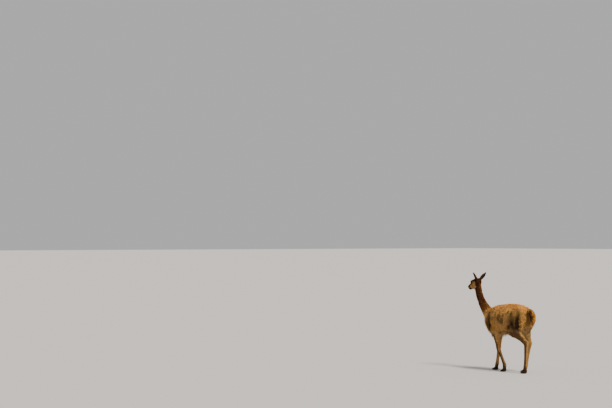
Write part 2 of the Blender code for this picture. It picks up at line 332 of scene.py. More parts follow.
def drawIn(mesh, points, part):
    # moves the skin inwards by the coat's depth, less round the ears' roots and never at the soles
    z = points[:, 2]
    depth = eased(mesh, coatDepth(points, part), 14)
    out = alongEar(points)[1]
    depth *= 1 - skin["earSpare"] * (1 - smoothStep(out, *skin["earSpareFade"])) * (z > ear["skullHeight"])
    depth *= smoothStep(z, *skin["soleRise"])
    points = points - normalsOf(mesh) * depth[:, None]
    points[:, 2] = np.maximum(points[:, 2], 0.0)
    setPoints(mesh, points)


def thinSkin(flesh, part):
    # fewer faces under the thick coat, all of them on the face and feet
    group = flesh.vertex_groups.new(name="thin")
    keep = (part == headPart) | (pointsOf(flesh.data)[:, 2] < skin["footHeight"])
    weight = np.round(eased(flesh.data, np.where(keep, 0.0, 1.0), 4), 1)
    for level in np.unique(weight):
        group.add([int(i) for i in np.flatnonzero(weight == level)], float(level), "REPLACE")
    addModifier(flesh, "DECIMATE", ratio=skin["bodyShare"], vertex_group=group.name,
                vertex_group_factor=skin["thinPower"])
    applyAll(flesh)
    flesh.vertex_groups.clear()
    print("skin thinned", len(flesh.data.polygons))


def makeEars():
    ears = joinedCopy(body["earNodes"], "ears")
    addModifier(ears, "REMESH", mode="VOXEL", voxel_size=skin["earVoxel"])
    addModifier(ears, "SMOOTH", factor=0.5, iterations=skin["earEasing"])
    applyAll(ears)
    # the roots reach on into the head
    points = pointsOf(ears.data)
    up = alongEar(points)[0]
    push = skin["earReach"] * (1 - smoothStep(up, up.min(), up.min() + skin["earReachFade"]))
    way = (rowsOf(up, np.sign(inHead(points)[:, 0]), 1, 1) * earAim) @ headAxes.T
    setPoints(ears.data, points - way * push[:, None])
    return ears


# the face is sculpted in the head's own frame: side, along the head, above its axis
face = {
    "eyeAxis": (0.93, 0.30, 0.20),
    "eyeForward": (0.0, 1.0, -0.12),
    "openingHalfLength": 0.0150,
    "openingHalfHeight": 0.0102,
    "openingSag": 0.0016,
    "lidThickness": 0.0013,
    "lidFold": (0.0009, 1.55, 0.12),       # height of the fold, and where it lies: the rim is 1
    "lidFoldGain": 1.6,
    "lidClosing": (0.90, 1.04),
    "lidFade": (1.20, 2.3),
    "lidReach": 0.045,
    "socketDepth": 0.0030,
    "fineReach": 0.030,                    # the finest faces lie this near the eyes, nose and mouth
    "fineSpot": (0.0, 0.205, -0.022),
    "finestShare": 0.74,
    "nostril": (0.0112, 0.2000, -0.0125),
    "nostrilSlant": (0.70, 0.71),
    "nostrilCurve": 60.0,
    "nostrilStretch": 2.4,
    "nostrilDent": (0.0060, 0.0023),       # depth and width, as for the mouth and the lip's cleft
    "mouthCorner": (0.0285, 0.1740, -0.0350),
    "mouthFront": (0.0, 0.2240, -0.0300),
    "mouthBow": 0.003,
    "mouthDent": (0.0024, 0.0013),
    "mouthStart": 0.166,
    "cleftDent": (0.0022, 0.0011),
    "cleftStart": 0.200,
    "cleftPlace": (-0.020, 0.008),         # middle and half length, above the head's axis
    # side, along, above, radius and how far out, of each soft swelling or hollow on both sides
    "swellings": [
        (0.041, 0.100, 0.036, 0.012, 0.0026),    # brow
        (0.046, 0.045, -0.040, 0.024, 0.0030),   # jaw muscle
        (0.036, 0.135, -0.010, 0.014, -0.0026),  # hollow before the eye
        (0.045, 0.086, -0.022, 0.012, -0.0014),  # under the eye
        (0.020, 0.206, -0.020, 0.012, 0.0018),   # upper lip
        (0.012, 0.205, -0.046, 0.011, 0.0012),   # chin
        (0.000, 0.150, 0.026, 0.013, 0.0014),    # bridge of the nose
    ],
}


def subdivideNear(piece, spots, reach):
    mesh = piece.data

    def away():
        local = inHead(pointsOf(mesh))
        return np.min([lengths(local - np.array(spot)) for spot in spots], axis=0)

    near = away() < reach
    inEditMode(piece, "DESELECT", bpy.ops.mesh.select_mode, type="FACE")
    corners = readAll(mesh.loops, "vertex_index", 1, np.int32)
    starts = readAll(mesh.polygons, "loop_start", 1, np.int32)
    mesh.polygons.foreach_set("select", np.logical_and.reduceat(near[corners], starts))
    inEditMode(piece, None, bpy.ops.mesh.subdivide, number_cuts=1)
    inEditMode(piece, "SELECT", bpy.ops.mesh.quads_convert_to_tris)
    share = 1 - smoothStep(away(), reach * 0.8, reach)
    points = pointsOf(mesh)
    for _ in range(3):
        points = points + (eased(mesh, points, 1) - points) * share[:, None]
    setPoints(mesh, points)


def eyeCentre(side):
    return np.array(body["eyePlace"]) * (side, 1, 1)


def eyeAxes(side):
    # outward, forward and upward directions of one eye, in the head's frame
    outward = np.array(face["eyeAxis"]) * (side, 1, 1)
    outward = outward / np.linalg.norm(outward)
    forward = np.array(face["eyeForward"])
    forward = forward - outward * (forward @ outward)
    forward = forward / np.linalg.norm(forward)
    upward = np.cross(outward, forward) * -side
    return outward, forward, upward * np.sign(upward[2])


def eyeOpening(local, side):
    # distance from one eye's middle, and how far out of the lids' opening: 1 is the rim
    outward, forward, upward = eyeAxes(side)
    fromEye = local - eyeCentre(side)
    across = (fromEye @ forward) / face["openingHalfLength"]
    above = fromEye @ upward + face["openingSag"] * across ** 2
    rim = np.sqrt(across ** 2 + (above / face["openingHalfHeight"]) ** 2)
    return lengths(fromEye), np.where(fromEye @ outward > 0, rim, 9.0)


def mouthDistance(local):
    # distance from the line of the mouth, on both sides
    front = np.array(face["mouthFront"])
    corner = np.array(face["mouthCorner"])
    share = np.clip((local[:, 1] - front[1]) / (corner[1] - front[1]), 0, 1)
    height = front[2] + (corner[2] - front[2]) * share + face["mouthBow"] * np.sin(share * math.pi)
    behind = np.maximum(corner[1] - local[:, 1], 0)
    return np.sqrt((local[:, 2] - height) ** 2 + behind ** 2)


def nostrilDistance(local):
    # a slanting comma on the front of the nose, longer than it is wide
    place = np.array(face["nostril"])
    flat, steep = face["nostrilSlant"]
    sideways = np.abs(local[:, 0]) - place[0]
    upwards = local[:, 2] - place[2]
    lengthways = sideways * flat + upwards * steep
    across = upwards * flat - sideways * steep + face["nostrilCurve"] * lengthways ** 2
    behind = np.maximum(place[1] - local[:, 1], 0)
    return np.sqrt((lengthways / face["nostrilStretch"]) ** 2 + across ** 2 + behind ** 2)


def dent(distance, depthAndWidth):
    depth, width = depthAndWidth
    return depth * bump(distance, 0, width)


def sculptFace(piece):
    spots = [eyeCentre(side) for side in (-1, 1)] + [face["fineSpot"]]
    subdivideNear(piece, spots, face["fineReach"])
    subdivideNear(piece, spots, face["fineReach"] * face["finestShare"])
    mesh = piece.data
    points = pointsOf(mesh)
    local = inHead(points)
    along = local[:, 1]
    onHead = (along > 0.0) & (points[:, 2] > body["headLow"])
    move = np.zeros(len(points))
    for x, y, z, radius, out in face["swellings"]:
        for side in ((-1, 1) if x else (1,)):
            move += out * bump(lengths(local - np.array((x * side, y, z))), 0, radius)
    move -= dent(mouthDistance(local), face["mouthDent"]) * (along > face["mouthStart"])
    move -= dent(nostrilDistance(local), face["nostrilDent"])
    middle, halfLength = face["cleftPlace"]
    cleft = np.abs(local[:, 0]) + np.maximum(np.abs(local[:, 2] - middle) - halfLength, 0)
    move -= dent(cleft, face["cleftDent"]) * (along > face["cleftStart"])
    local = inHead(points + normalsOf(mesh) * (move * onHead)[:, None])
    for side in (-1, 1):
        distance, rim = eyeOpening(local, side)
        # the lids' folds stand a little proud of the rim
        height, place, width = face["lidFold"]
        fold = height * bump(rim, place, width)
        lidTop = body["eyeRadius"] + face["lidThickness"] - fold * face["lidFoldGain"]
        closed = smoothStep(rim, *face["lidClosing"])
        target = (body["eyeRadius"] - face["socketDepth"]) * (1 - closed) + lidTop * closed
        hold = 1 - smoothStep(rim, *face["lidFade"])
        newDistance = distance * (1 - hold) + target * hold
        reachable = (distance < face["lidReach"]) & onHead
        scale = np.where(reachable, newDistance / np.maximum(distance, 0.001), 1.0)
        local = eyeCentre(side) + (local - eyeCentre(side)) * scale[:, None]
    setPoints(mesh, inWorld(local))
    print("face sculpted", len(mesh.polygons))


def tone(red, green, blue):
    # a display colour, 0 to 255, as the linear colour that materials use
    shown = np.array((red, green, blue)) / 255.0
    return np.where(shown < 0.04045, shown / 12.92, ((shown + 0.055) / 1.055) ** 2.4)


# the coat's colours, which skin and tufts share
tones = {
    # the back's own gold, brightened as painted light on the lit top
    "backGold": tone(240, 166, 72),
    # painted highlight: glints on the wool's lumps along the top of the back
    "saddleGlint": tone(240, 186, 96),
    "flankTan": tone(178, 136, 80),
    # painted shade: the fold before the thigh, the shoulder's front and the hollows of the wool
    "flankShade": tone(44, 26, 9),
    "bellyCream": tone(214, 184, 132),
    "bib": tone(226, 174, 100),
    # the neck's own cinnamon brown, darkened as painted shade
    "neck": tone(68, 33, 8),
    # gold for the nape; at full strength it is painted rim light along the nape's edge
    "nape": tone(196, 128, 48),
    "crown": tone(50, 25, 7),
    "cheek": tone(204, 154, 90),
    # darker brown: painted shade down the face's front, and the eyes' dark corners
    "faceFront": tone(66, 40, 20),
    "muzzle": tone(50, 33, 22),
    "jaw": tone(212, 186, 142),
    "eyeRim": tone(24, 15, 10),
    "eyeRing": tone(204, 166, 112),
    # near black: painted shade in the nostrils' openings
    "nostril": tone(24, 15, 10) * 0.35,
    # the ears' own dark brown behind, darkened further as painted shade
    "earBack": tone(40, 21, 9),
    "earInside": tone(176, 144, 106),
    "earTip": tone(24, 15, 10) * 1.6,
    "legTan": tone(200, 155, 96),
    # painted shade on the legs' fronts and outsides
    "legShadow": tone(72, 43, 17),
    # painted light: the lit backs of the legs, glints on the wool and the thigh's lit rear edge
    "litGold": tone(196, 142, 62),
    "innerLeg": tone(158, 134, 98),
    # dark feet: painted shade
    "foot": tone(58, 42, 30),
    "tailDark": tone(72, 43, 18),
    # painted light in gold on the tail's sides that face the light
    "tailLitGold": tone(206, 138, 52),
}


# what bounds a mark: each of these gives its share, from 0 to 1, from the measures at each point
def rising(measure, start, full):
    return lambda at: smoothStep(at[measure], start, full)


def around(measure, middle, reach):
    return lambda at: bump(at[measure], middle, reach)


def between(measure, low, high):
    return lambda at: (at[measure] > low) & (at[measure] < high)


def times(measure):
    return lambda at: at[measure]


def lessOf(measure, share):
    return lambda at: 1 - share * at[measure]


# regions that more than one mark uses
regions = {
    # where the painted shade of the fold between flank and thigh lies
    "fold": [rising("foldFront", 0.240, 0.345), rising("foldRear", 0.474, 0.438),
             around("height", 0.62, 0.195), rising("side", 0.07, 0.11)],
    # the thigh's rear edge: painted rim light on it and painted shadow in the gap before the tail
    "rearEdge": [rising("rearLine", 0.452, 0.474), rising("height", 0.86, 0.80)],
    "bib": [rising("back", -0.135, -0.20), rising("height", 0.79, 0.735), rising("toNape", 0.075, 0.01)],
}

# the marks of each part, one over the other: tone, strength, how much more of it on the streaks
# of the wool, and what bounds it
marks = {
    "trunk": [            # gold above, its own colour brightened on top as painted light, tan on the flanks with painted shade in the hollows, cream below
        # the back's own gold, brightened as painted light where the top of the trunk is lit
        ("backGold", 1, 0, rising("level", 0.760, 0.872)),
        # painted highlights: glints on the lumps along the top of the back
        ("saddleGlint", 0.75, 0, rising("tufty", 0.02, 0.4), rising("height", 0.74, 0.82)),
        ("bellyCream", 0.75, 0, rising("side", 0.115, 0.055), rising("downward", 0.15, 0.65),
         between("back", -1, 0.40)),
        ("bellyCream", 0.15, 0, rising("height", 0.53, 0.475)),
        # painted shade in the fold between flank and thigh
        ("flankShade", 1.17, 1.17, times("fold")),
        # painted shade on the shoulder's front, which faces away from the light
        ("flankShade", 0.765, 0.85, around("back", -0.096, 0.082), around("height", 0.61, 0.14),
         rising("side", 0.05, 0.10)),
        # painted shade in the hollows between the wool's locks
        ("flankShade", 0.68, 0, rising("hollow", 0.06, 0.34), rising("height", 0.88, 0.80)),
        # painted highlights: glints on the wool's lumps, fewer in the fold's painted shade
        ("litGold", 0.55, 0, rising("glint", 0.08, 0.34), rising("height", 0.46, 0.56), lessOf("fold", 0.8)),
        # painted rim light down the thigh's rear edge
        ("litGold", 0.70, 0, times("rearEdge"), rising("side", 0.045, 0.070)),
        # painted shadow in the gap between the thigh's rear edge and the tail
        ("tailDark", 0.72, 1.1, times("rearEdge"), rising("side", 0.060, 0.036),
         rising("height", 0.60, 0.64)),
        ("innerLeg", 0.65, 1, rising("side", 0.085, 0.030), rising("lowLine", 0.66, 0.55),
         rising("back", 0.38, 0.43)),
        ("bib", 0.95, 0, times("bib")),
        ("bellyCream", 0.65, 0, times("bib"), rising("side", 0.085, 0.03)),
    ],
    "neck": [             # cinnamon brown darkened as painted shade, golden along the nape as painted rim light, meeting back and bib
        ("nape", 0.22, 0, rising("upNeck", 0.60, 0.25)),
        # painted rim light along the nape's edge
        ("nape", 1, 0, rising("napeLine", 0.80, 1.04)),
        ("flankTan", 0.25, 0, rising("acrossNeck", -0.70, -1.0), between("upNeck", 0.3, 2)),
        ("bib", 1, 0, rising("bibLine", 0.36, 0.14)),
    ],
    "head": [             # pale cheeks, dark crown and muzzle, and painted shade down the front of the nose and on the throat
        ("crown", 1, 0, rising("forehead", 0.018, 0.046), rising("along", 0.11, 0.05)),
        # painted shade down the face's front, from the eyes to the nose
        ("faceFront", 0.95, 0, rising("noseTop", 0.002, 0.032)),
        ("crown", 1, 0, rising("pollLine", 0.045, 0.018)),
        ("jaw", 0.6, 0, rising("jawLine", -0.042, -0.062), between("along", 0.03, 1)),
        # painted shade on the throat behind the jaw, in the neck's brown
        ("neck", 1, 0, rising("throatLine", 0.012, -0.012)),
        ("muzzle", 1, 0, rising("muzzleLine", 0.140, 0.184)),
        ("jaw", 0.35, 0, around("along", 0.176, 0.010), around("above", -0.030, 0.009)),
        ("eyeRim", 1, 0, around("mouth", 0, 0.0013), between("along", 0.168, 1)),
        # painted shade in the nostril's opening
        ("nostril", 1, 0, around("nostril", 0, 0.0027)),
    ],
    "eye": [              # a pale ring round dark rims, with a dark corner towards the nose
        ("eyeRing", 0.75, 0, around("rim", 1.75, 0.35), between("eyeDistance", -1, 0.055)),
        ("eyeRim", 1, 0, rising("rim", 1.42, 1.12), between("eyeDistance", -1, 0.055)),
        ("faceFront", 0.7, 0, around("eyeCorner", 0, 0.009)),
    ],
    "ear": [              # dark behind, partly their own dark brown and partly painted shade, dark at the tips, paler in the hollow
        ("earInside", 1, 0, rising("earFacing", 0.15, 0.55)),
        ("earTip", 0.7, 0, rising("upEar", 0.075, 0.110)),
    ],
    "leg": [              # tan, with painted shade down the front and outside, painted light in gold behind, and dark feet as painted shade
        ("legShadow", 0.85, 0, times("legShade")),
        ("litGold", 0.85, 0, rising("behind", 0.22, 0.60)),
        ("innerLeg", 0.6, 0, rising("outward", -0.35, -0.85)),
        ("foot", 1, 0, rising("footLine", 0.115, 0.035)),
    ],
    "tail": [             # dark in the middle, golden outside and along its edges as painted light where they face the light
        ("tailLitGold", 0.85, 1, times("tailLitSide")),
    ],
}
marking = {
    "lumps": [(0.09, 0.09, 0.12), (0.034, 0.034, 0.13), (0.018, 0.018, 0.045)],      # rough, streak, small
    "neckHalf": (0.048, 0.05),             # half depth at the top, and how much more at the base
    "eyeCorner": (0.0, 0.020, -0.012),
    "earFront": (0.0, 1.0, 0.1),
    "neckJoint": (0.16, 0.36),             # share up the neck where its colours take over
    "legJoint": (0.60, 0.50),              # height where the leg's colours take over
    "thighShare": 0.65,
    "shade": (0.30, 0.22),                 # how much the small lumps and the streaks lighten
}


def lumps(points, size, seed):
    # soft random values about 0, with one lump to each size
    cell = points / np.array(size)
    base = np.floor(cell).astype(np.int64)
    inside = cell - base
    inside = inside * inside * (3 - 2 * inside)
    total = np.zeros(len(points))
    for corner in range(8):
        step = np.array([(corner >> k) & 1 for k in range(3)])
        spot = base + step
        mixedUp = (spot[:, 0] * 73856093) ^ (spot[:, 1] * 19349663) ^ (spot[:, 2] * 83492791)
        mixedUp = (mixedUp + seed * 7919) * 1103515245 + 12345
        value = ((mixedUp >> 12) & 0xffff) / 65535.0
        total += value * np.prod(np.where(step, inside, 1 - inside), axis=1)
    return total - 0.5


def neckPlace(points):
    # share of the way up the neck, how far towards the nape from its line, and the line's way
    line = np.array(body["neckLine"])
    spread = np.linspace(0, len(line) - 1, 60)
    y = np.interp(spread, np.arange(len(line)), line[:, 0])
    z = np.interp(spread, np.arange(len(line)), line[:, 1])
    away = (points[:, 1:2] - y) ** 2 + (points[:, 2:3] - z) ** 2
    nearest = away.argmin(axis=1)
    dy = np.gradient(y)[nearest]
    dz = np.gradient(z)[nearest]
    size = np.hypot(dy, dz)
    toNape = ((points[:, 1] - y[nearest]) * dz - (points[:, 2] - z[nearest]) * dy) / size
    return nearest / 59.0, toNape, dy / size, dz / size


def over(base, other, mask):
    mask = np.clip(mask, 0, 1)[:, None]
    return base * (1 - mask) + other * mask


def product(limits, at):
    mask = 1.0
    for limit in limits:
        mask = mask * limit(at)
    return mask


def painted(base, name, at):
    colour = base
    for toneName, strength, streaky, *limits in marks[name]:
        mask = (strength + streaky * at["streak"]) * product(limits, at)
        colour = over(colour, tones[toneName], mask)
    return colour


def measuresOf(points, normals, part):
    # what the marks go by: on head and ears the skin's place, and else where the hair ends
    local = inHead(points)
    hx, along, above = local.T
    narrow = np.abs(hx)
    x, y, z = (points + normals * coatDepth(points, part)[:, None]).T
    outer = np.stack([x, y, z], axis=1)
    rough, streak, small = (lumps(outer, size, seed) for seed, size in enumerate(marking["lumps"], 1))
    upNeck, toNape = neckPlace(outer)[:2]
    neckTop, neckMore = marking["neckHalf"]
    acrossNeck = toNape / (neckTop + neckMore * (1 - upNeck) ** 2)
    outward = np.sign(x) * normals[:, 0]
    headNormals = normals @ headAxes
    # how far each point faces back, towards the light: the legs get painted light where they face it and
    # painted shade where they face away
    behind = 0.73 * normals[:, 1] - 0.50 * outward - 0.25 * normals[:, 2] + 0.35 * small
    # the painted shade on the legs ends further forward on the upper foreleg, and further back on the hind
    # leg
    upperFore = smoothStep(z, 0.38, 0.46) * (y < 0.15)
    hindShift = 0.12 * (y > 0.15) * (1 - smoothStep(z, 0.52, 0.60))
    legShade = 1 - smoothStep(behind - hindShift, -0.10 - 0.35 * upperFore, 0.22 - 0.25 * upperFore)
    # painted light on the tail where it faces back and up, towards the light
    tailLitSide = smoothStep(normals[:, 1] + streak * 0.8 + small * 0.4, 0.35, 0.85)
    tailLitSide = np.clip(tailLitSide + smoothStep(normals[:, 2], 0.5, 0.9), 0, 1)
    at = {
        "side": np.abs(x), "back": y, "height": z, "streak": streak, "small": small,
        "downward": -normals[:, 2], "outward": outward, "behind": behind,
        "level": z + rough * 0.11 + streak * 0.05, "lowLine": z + rough * 0.06,
        # hollow places the painted shade in the wool's hollows, glint the painted highlights on its lumps
        "tufty": small + streak, "hollow": streak + rough * 0.6, "glint": -streak - rough * 0.4,
        # foldFront and foldRear bound the fold's painted shade, rearLine the thigh's painted rim light
        "foldFront": y + streak * 0.07, "foldRear": y + streak * 0.03, "rearLine": y + (0.66 - z) * 0.10,
        "upNeck": upNeck, "toNape": toNape, "acrossNeck": acrossNeck, "napeLine": acrossNeck + rough * 0.12,
        "bibLine": upNeck + toNape * 0.6 + streak * 0.14 + small * 0.08,
        "joinLine": upNeck - streak * 0.12 - small * 0.08,
        "along": along, "above": above, "forehead": above - along * 0.02 + narrow * 0.5,
        "noseTop": above + along * 0.32 - narrow * 0.8, "pollLine": along + above * 0.25,
        "jawLine": above + along * 0.12, "throatLine": along - above * 0.10,
        "muzzleLine": along - above * 0.15,
        "mouth": mouthDistance(local), "nostril": nostrilDistance(local),
        "earFacing": headNormals @ np.array(marking["earFront"]) + headNormals[:, 0] * np.sign(hx) * 0.35,
        "upEar": alongEar(points)[0],
        "legShade": legShade, "footLine": z + small * 0.04, "tailLitSide": tailLitSide,
    }
    for name, limits in regions.items():
        at[name] = product(limits, at)
    return at, local


def markings(points, normals, part):
    # the coat's colour at each point of the skin
    at, local = measuresOf(points, normals, part)
    blank = np.zeros((len(points), 3))
    trunk = painted(blank + tones["flankTan"], "trunk", at)
    neck = painted(blank + tones["neck"], "neck", at)
    torso = over(trunk, neck, smoothStep(at["joinLine"], *marking["neckJoint"]))
    head = painted(blank + tones["cheek"], "head", at)
    for side in (-1, 1):
        at["eyeDistance"], at["rim"] = eyeOpening(local, side)
        at["eyeCorner"] = lengths(local - eyeCentre(side) - np.array(marking["eyeCorner"]))
        head = painted(head, "eye", at)
    ears = painted(blank + tones["earBack"], "ear", at)
    legs = painted(blank + tones["legTan"], "leg", at)
    tail = painted(blank + tones["tailDark"], "tail", at)

    z = at["height"]
    thigh = smoothStep(at["side"], 0.06, 0.10) * smoothStep(at["back"], 0.12, 0.22)
    thigh = thigh * smoothStep(z, 0.62, 0.50)
    byRegion = {
        trunkPart: over(torso, legs, marking["thighShare"] * thigh), neckPart: torso, headPart: head,
        tailPart: tail, earPart: ears,
    }
    colour = over(torso, legs, smoothStep(z, *marking["legJoint"]))
    for which, its in byRegion.items():
        colour = np.where((part == which)[:, None], its, colour)
    smallShare, streakShare = marking["shade"]
    shade = 1 + smallShare * at["small"] + streakShare * at["streak"] * (part != headPart)
    return np.clip(colour * shade[:, None], 0.002, 1.0)


def unwrapSkin(piece):
    inEditMode(piece, "SELECT", bpy.ops.mesh.quads_convert_to_tris)
    inEditMode(piece, "SELECT", bpy.ops.uv.smart_project, angle_limit=math.radians(60), island_margin=0.002)
    piece.data.uv_layers.active.name = "OFBake"
    print("skin unwrapped", len(piece.data.polygons))


skinPiece = makeSkin()
sculptFace(skinPiece)
unwrapSkin(skinPiece)
skinPiece.data.shade_smooth()
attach(skinPiece, "root")
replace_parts(skinPiece, *body["fleshNodes"], *body["earNodes"])


# materials
def newMaterial(name):
    paint = bpy.data.materials.new(name)
    paint.use_nodes = True
    return paint, paint.node_tree, paint.node_tree.nodes["Principled BSDF"]


def addNode(tree, kind, inputs=None, **settings):
    # a node, each of its inputs linked from a socket or set to a value
    node = tree.nodes.new(kind)
    for name, value in settings.items():
        setattr(node, name, value)
    for name, value in (inputs or {}).items():
        if isinstance(value, bpy.types.NodeSocket):
            tree.links.new(value, node.inputs[name])
        else:
            node.inputs[name].default_value = value
    return node


def addGrain(tree, stretch, noise):
    # noise on the object's own coordinates, stretched by the scale along each axis
    place = addNode(tree, "ShaderNodeTexCoord")
    turned = addNode(tree, "ShaderNodeMapping", {"Vector": place.outputs["Object"], "Scale": stretch})
    return addNode(tree, "ShaderNodeTexNoise", {"Vector": turned.outputs["Vector"], **noise})


def addRamp(tree, factor, stops):
    node = addNode(tree, "ShaderNodeValToRGB", {"Fac": factor})
    elements = node.color_ramp.elements
    for k, (position, colour) in enumerate(stops):
        element = elements[k] if k < 2 else elements.new(position)
        element.position = position
        element.color = (*colour, 1)
    return node.outputs["Color"]


def addRelief(tree, shader, height, strength, distance):
    relief = addNode(tree, "ShaderNodeBump", {"Height": height, "Strength": strength, "Distance": distance})
    tree.links.new(relief.outputs["Normal"], shader.inputs["Normal"])


# the effect of fur on a colour: soft shade between hairs, roots darkened as painted shade deep in the coat,
# and a tint for each tuft
fur = {
    "inputs": {"Streak Scale": 220.0, "Streak Depth": 0.35, "Tip Light": 1.35},
    "stretch": (1.0, 1.0, 0.32),
    "rootLight": 0.62,
    "tint": (0.44, 0.78),                # how much a tuft's own tint changes it, and the least
    "streakGain": 2.2,
    "roughness": (0.3, 0.82),            # change with the hairs, and the middle
    "reliefStrength": 0.6,
    "specular": 0.12,
    "sheenRoughness": 0.6,
    # streak scale and depth, light at the tips, height of the relief, sheen
    "kinds": {"skin": ("skinFur", 320.0, 0.30, 1.0, 0.0012, 0.02),
              "wool": ("wool", 240.0, 0.32, 1.30, 0.0010, 0.03),
              "short": ("shortFur", 420.0, 0.30, 1.22, 0.0006, 0.03)},
}


def makeFurGroup():
    group = bpy.data.node_groups.new("furShade", "ShaderNodeTree")
    for name in ("Colour", "Hair"):
        group.interface.new_socket(name, in_out="INPUT", socket_type="NodeSocketColor")
    for name, value in fur["inputs"].items():
        socket = group.interface.new_socket(name, in_out="INPUT", socket_type="NodeSocketFloat")
        socket.default_value = value
    for name, kind in (("Colour", "Color"), ("Height", "Float"), ("Roughness", "Float")):
        group.interface.new_socket(name, in_out="OUTPUT", socket_type="NodeSocket" + kind)

    def reckon(operation, first, second):
        return addNode(group, "ShaderNodeMath", {0: first, 1: second}, operation=operation).outputs[0]

    given = group.nodes.new("NodeGroupInput").outputs
    result = group.nodes.new("NodeGroupOutput").inputs
    fine = addGrain(group, fur["stretch"], {"Scale": given["Streak Scale"], "Detail": 4.0, "Roughness": 0.6})
    # red is the share along the hair, green the tuft's tint, and blue how pale its tip is
    hair = addNode(group, "ShaderNodeSeparateColor", {"Color": given["Hair"]}).outputs
    centred = reckon("SUBTRACT", fine.outputs["Fac"], 0.5)
    streaks = reckon("MULTIPLY", reckon("MULTIPLY", centred, given["Streak Depth"]), fur["streakGain"])
    # painted shade deep in the coat: the roots darker than the tips
    tipShare = reckon("SUBTRACT", given["Tip Light"], fur["rootLight"])
    alongShade = reckon("ADD", reckon("MULTIPLY", hair["Red"], tipShare), fur["rootLight"])
    tintGain, tintLeast = fur["tint"]
    tint = reckon("ADD", reckon("MULTIPLY", hair["Green"], tintGain), tintLeast)
    shade = reckon("ADD", reckon("MULTIPLY", alongShade, tint), streaks)
    scaled = addNode(group, "ShaderNodeVectorMath", {0: given["Colour"], "Scale": shade}, operation="SCALE")
    pale = addNode(group, "ShaderNodeMix", {
        "Factor": reckon("MULTIPLY", hair["Blue"], hair["Red"]),
        "A": scaled.outputs[0],
        "B": (*tones["bellyCream"], 1.0),
    }, data_type="RGBA")
    roughGain, roughMiddle = fur["roughness"]
    rough = reckon("ADD", reckon("MULTIPLY", centred, roughGain), roughMiddle)
    group.links.new(pale.outputs["Result"], result["Colour"])
    group.links.new(fine.outputs["Fac"], result["Height"])
    group.links.new(rough, result["Roughness"])
    return group


furGroup = makeFurGroup()


def furMaterial(name, streakScale, streakDepth, tipLight, reliefHeight, sheen):
    paint, tree, shader = newMaterial(name)
    colour = addNode(tree, "ShaderNodeAttribute", attribute_name="markings")
    hair = addNode(tree, "ShaderNodeAttribute", attribute_name="hair")
    shade = addNode(tree, "ShaderNodeGroup", {
        "Colour": colour.outputs["Color"], "Hair": hair.outputs["Color"],
        "Streak Scale": streakScale, "Streak Depth": streakDepth, "Tip Light": tipLight,
    }, node_tree=furGroup)
    tree.links.new(shade.outputs["Colour"], shader.inputs["Base Color"])
    tree.links.new(shade.outputs["Roughness"], shader.inputs["Roughness"])
    addRelief(tree, shader, shade.outputs["Height"], fur["reliefStrength"], reliefHeight)
    shader.inputs["Specular IOR Level"].default_value = fur["specular"]
    shader.inputs["Sheen Weight"].default_value = sheen
    shader.inputs["Sheen Roughness"].default_value = fur["sheenRoughness"]
    return paint


furMaterials = {kind: furMaterial(*settings) for kind, settings in fur["kinds"].items()}


def addMarks(mesh, colours, hair):
    for name, values in (("markings", colours), ("hair", hair)):
        layer = mesh.attributes.new(name, "FLOAT_COLOR", "POINT")
        full = np.ones((len(values), 4), dtype=np.float32)
        full[:, :3] = values
        layer.data.foreach_set("color", full.ravel())


def finishSkin(piece):
    mesh = piece.data
    points = pointsOf(mesh)
    part = partsOf(points)
    # darker under the thick coat, as painted shade between the tufts, and light where the skin itself shows
    light = np.where((part == headPart) | (part == earPart), 0.9, 0.35)
    light = np.where(points[:, 2] < 0.4, 0.8, light)
    addMarks(mesh, markings(points, normalsOf(mesh), part), rowsOf(light, light, 0.5, 0.0))
    mesh.materials.clear()
    mesh.materials.append(furMaterials["skin"])


finishSkin(skinPiece)
print("skin painted")


